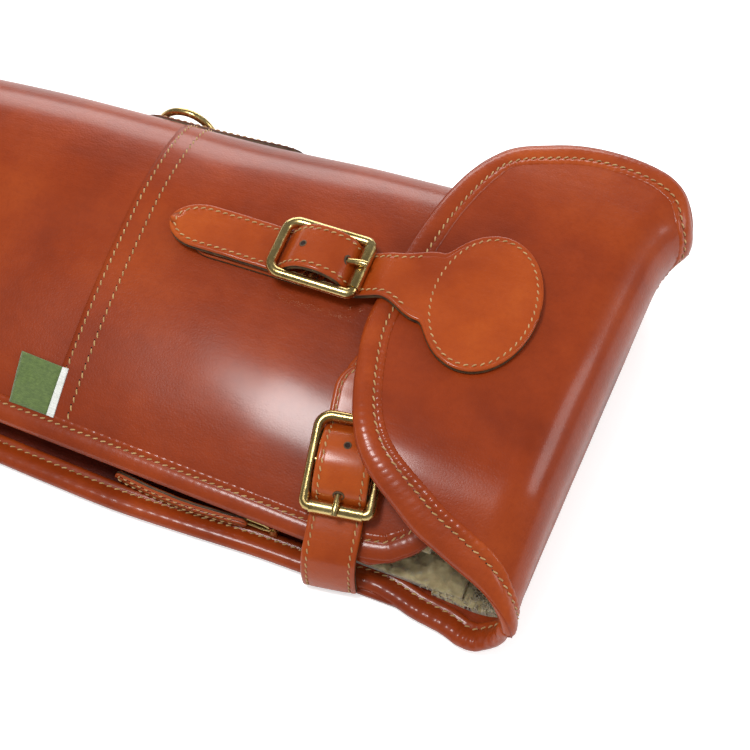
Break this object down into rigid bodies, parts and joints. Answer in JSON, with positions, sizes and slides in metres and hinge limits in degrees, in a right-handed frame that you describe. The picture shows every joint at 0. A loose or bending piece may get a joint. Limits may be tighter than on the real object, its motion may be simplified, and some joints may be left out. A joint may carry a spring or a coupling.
{
  "type": "leather slip case",
  "caption": "Long flat fleece-lined leather slip case with a zipped edge, a fold-over flap held by two buckled straps, and a carrying ring on its spine.",
  "frame": {"origin": "middle of the pocket's mouth, on the plane that the case rests on", "axes": "+X along the case towards the flap, +Y towards the folded spine, +Z out of the front panel"},
  "size_m": [0.5787, 0.2472, 0.0734],
  "materials": {
    "tan_leather": "smooth glazed tan hide",
    "strap_leather": "stitched strap leather with dark edges",
    "binding_leather": "thin rolled leather edging",
    "flap_lining": "dark smooth lining leather",
    "fleece": "curly fleece pile",
    "brass": "satin polished",
    "zip_tape": "dark woven tape",
    "zip_teeth": "dulled metal teeth",
    "label_cloth": "plain woven label"
  },
  "bodies": {
    "pocket": {"tail_leather": "tan_leather", "mouth_leather": "tan_leather", "fleece_lining": "fleece", "front_rim_binding": "binding_leather", "back_rim_binding": "binding_leather", "mouth_binding": "binding_leather", "tail_binding": "binding_leather", "zip_tape_upper": "zip_tape", "zip_tape_lower": "zip_tape", "zip_teeth_upper": "zip_teeth", "zip_teeth_lower": "zip_teeth", "zip_stops": "brass", "front_buckle_tab": "strap_leather", "side_buckle_tab": "strap_leather", "ring_tab": "strap_leather", "label": "label_cloth"},
    "end_wall": {"end_wall_leather": "tan_leather", "end_wall_lining": "flap_lining", "end_wall_binding": "binding_leather"},
    "flap": {"flap_leather": "tan_leather", "flap_lining": "flap_lining", "flap_binding": "binding_leather", "closure_strap": "strap_leather"},
    "side_strap": {"side_strap": "strap_leather"},
    "zip_slider": {"zip_slider": "brass"},
    "zip_pull": {"puller_link": "brass", "zip_puller": "strap_leather"},
    "front_buckle": {"front_buckle_frame": "brass"},
    "front_roller": {"front_buckle_roller": "brass"},
    "front_prong": {"front_buckle_prong": "brass"},
    "side_buckle": {"side_buckle_frame": "brass"},
    "side_roller": {"side_buckle_roller": "brass"},
    "side_prong": {"side_buckle_prong": "brass"},
    "d_ring": {"d_ring": "brass"}
  },
  "joints": [
    {"name": "end_wall_fold", "type": "hinge", "parent": "pocket", "child": "end_wall", "pos_m": [0.02502, 0.00043, 0.006], "axis": [0.0715, 0.9974, 0], "range_deg": [0, 90], "deforming": ["closure_strap"]},
    {"name": "flap_fold", "type": "hinge", "parent": "end_wall", "child": "flap", "pos_m": [0.02502, 0.00043, 0.0585], "axis": [0.0715, 0.9974, 0], "range_deg": [0, 90], "deforming": ["closure_strap"]},
    {"name": "side_strap_swing", "type": "hinge", "parent": "pocket", "child": "side_strap", "pos_m": [-0.05581, -0.11569, 0.00161], "axis": [0.9903, 0.1392, 0], "range_deg": [0, 90], "deforming": ["side_strap"]},
    {"name": "zip_slide", "type": "slide", "parent": "pocket", "child": "zip_slider", "axis": [-0.9988, 0.0489, -0.0067], "range_m": [0, 0.315]},
    {"name": "puller_swing", "type": "hinge", "parent": "zip_slider", "child": "zip_pull", "pos_m": [-0.08823, -0.09363, 0.01045], "axis": [-0.0067, 0.0003, 1], "range_deg": [0, 90]},
    {"name": "front_buckle_tilt", "type": "hinge", "parent": "pocket", "child": "front_buckle", "pos_m": [-0.1075, 0.0205, 0.06555], "axis": [0, 1, 0], "range_deg": [-6, 6], "deforming": ["closure_strap"]},
    {"name": "front_roller_spin", "type": "hinge", "parent": "front_buckle", "child": "front_roller", "pos_m": [-0.087, 0.0205, 0.06555], "axis": [0, 1, 0], "continuous": true},
    {"name": "front_prong_lift", "type": "hinge", "parent": "front_buckle", "child": "front_prong", "pos_m": [-0.1075, 0.0205, 0.06555], "axis": [0, -1, 0], "range_deg": [0, 100], "deforming": ["closure_strap"]},
    {"name": "side_buckle_tilt", "type": "hinge", "parent": "pocket", "child": "side_buckle", "pos_m": [-0.06253, -0.06734, 0.04586], "axis": [0.9903, 0.1392, 0], "range_deg": [-6, 6], "deforming": ["side_strap"]},
    {"name": "side_roller_spin", "type": "hinge", "parent": "side_buckle", "child": "side_roller", "pos_m": [-0.05989, -0.08616, 0.03818], "axis": [0.9903, 0.1392, 0], "continuous": true},
    {"name": "side_prong_lift", "type": "hinge", "parent": "side_buckle", "child": "side_prong", "pos_m": [-0.06253, -0.06734, 0.04586], "axis": [-0.9903, -0.1392, 0], "range_deg": [0, 100], "deforming": ["side_strap"]},
    {"name": "d_ring_swing", "type": "hinge", "parent": "pocket", "child": "d_ring", "pos_m": [-0.214, 0.09916, 0.012], "axis": [-1, 0, 0], "range_deg": [0, 90]}
  ]
}
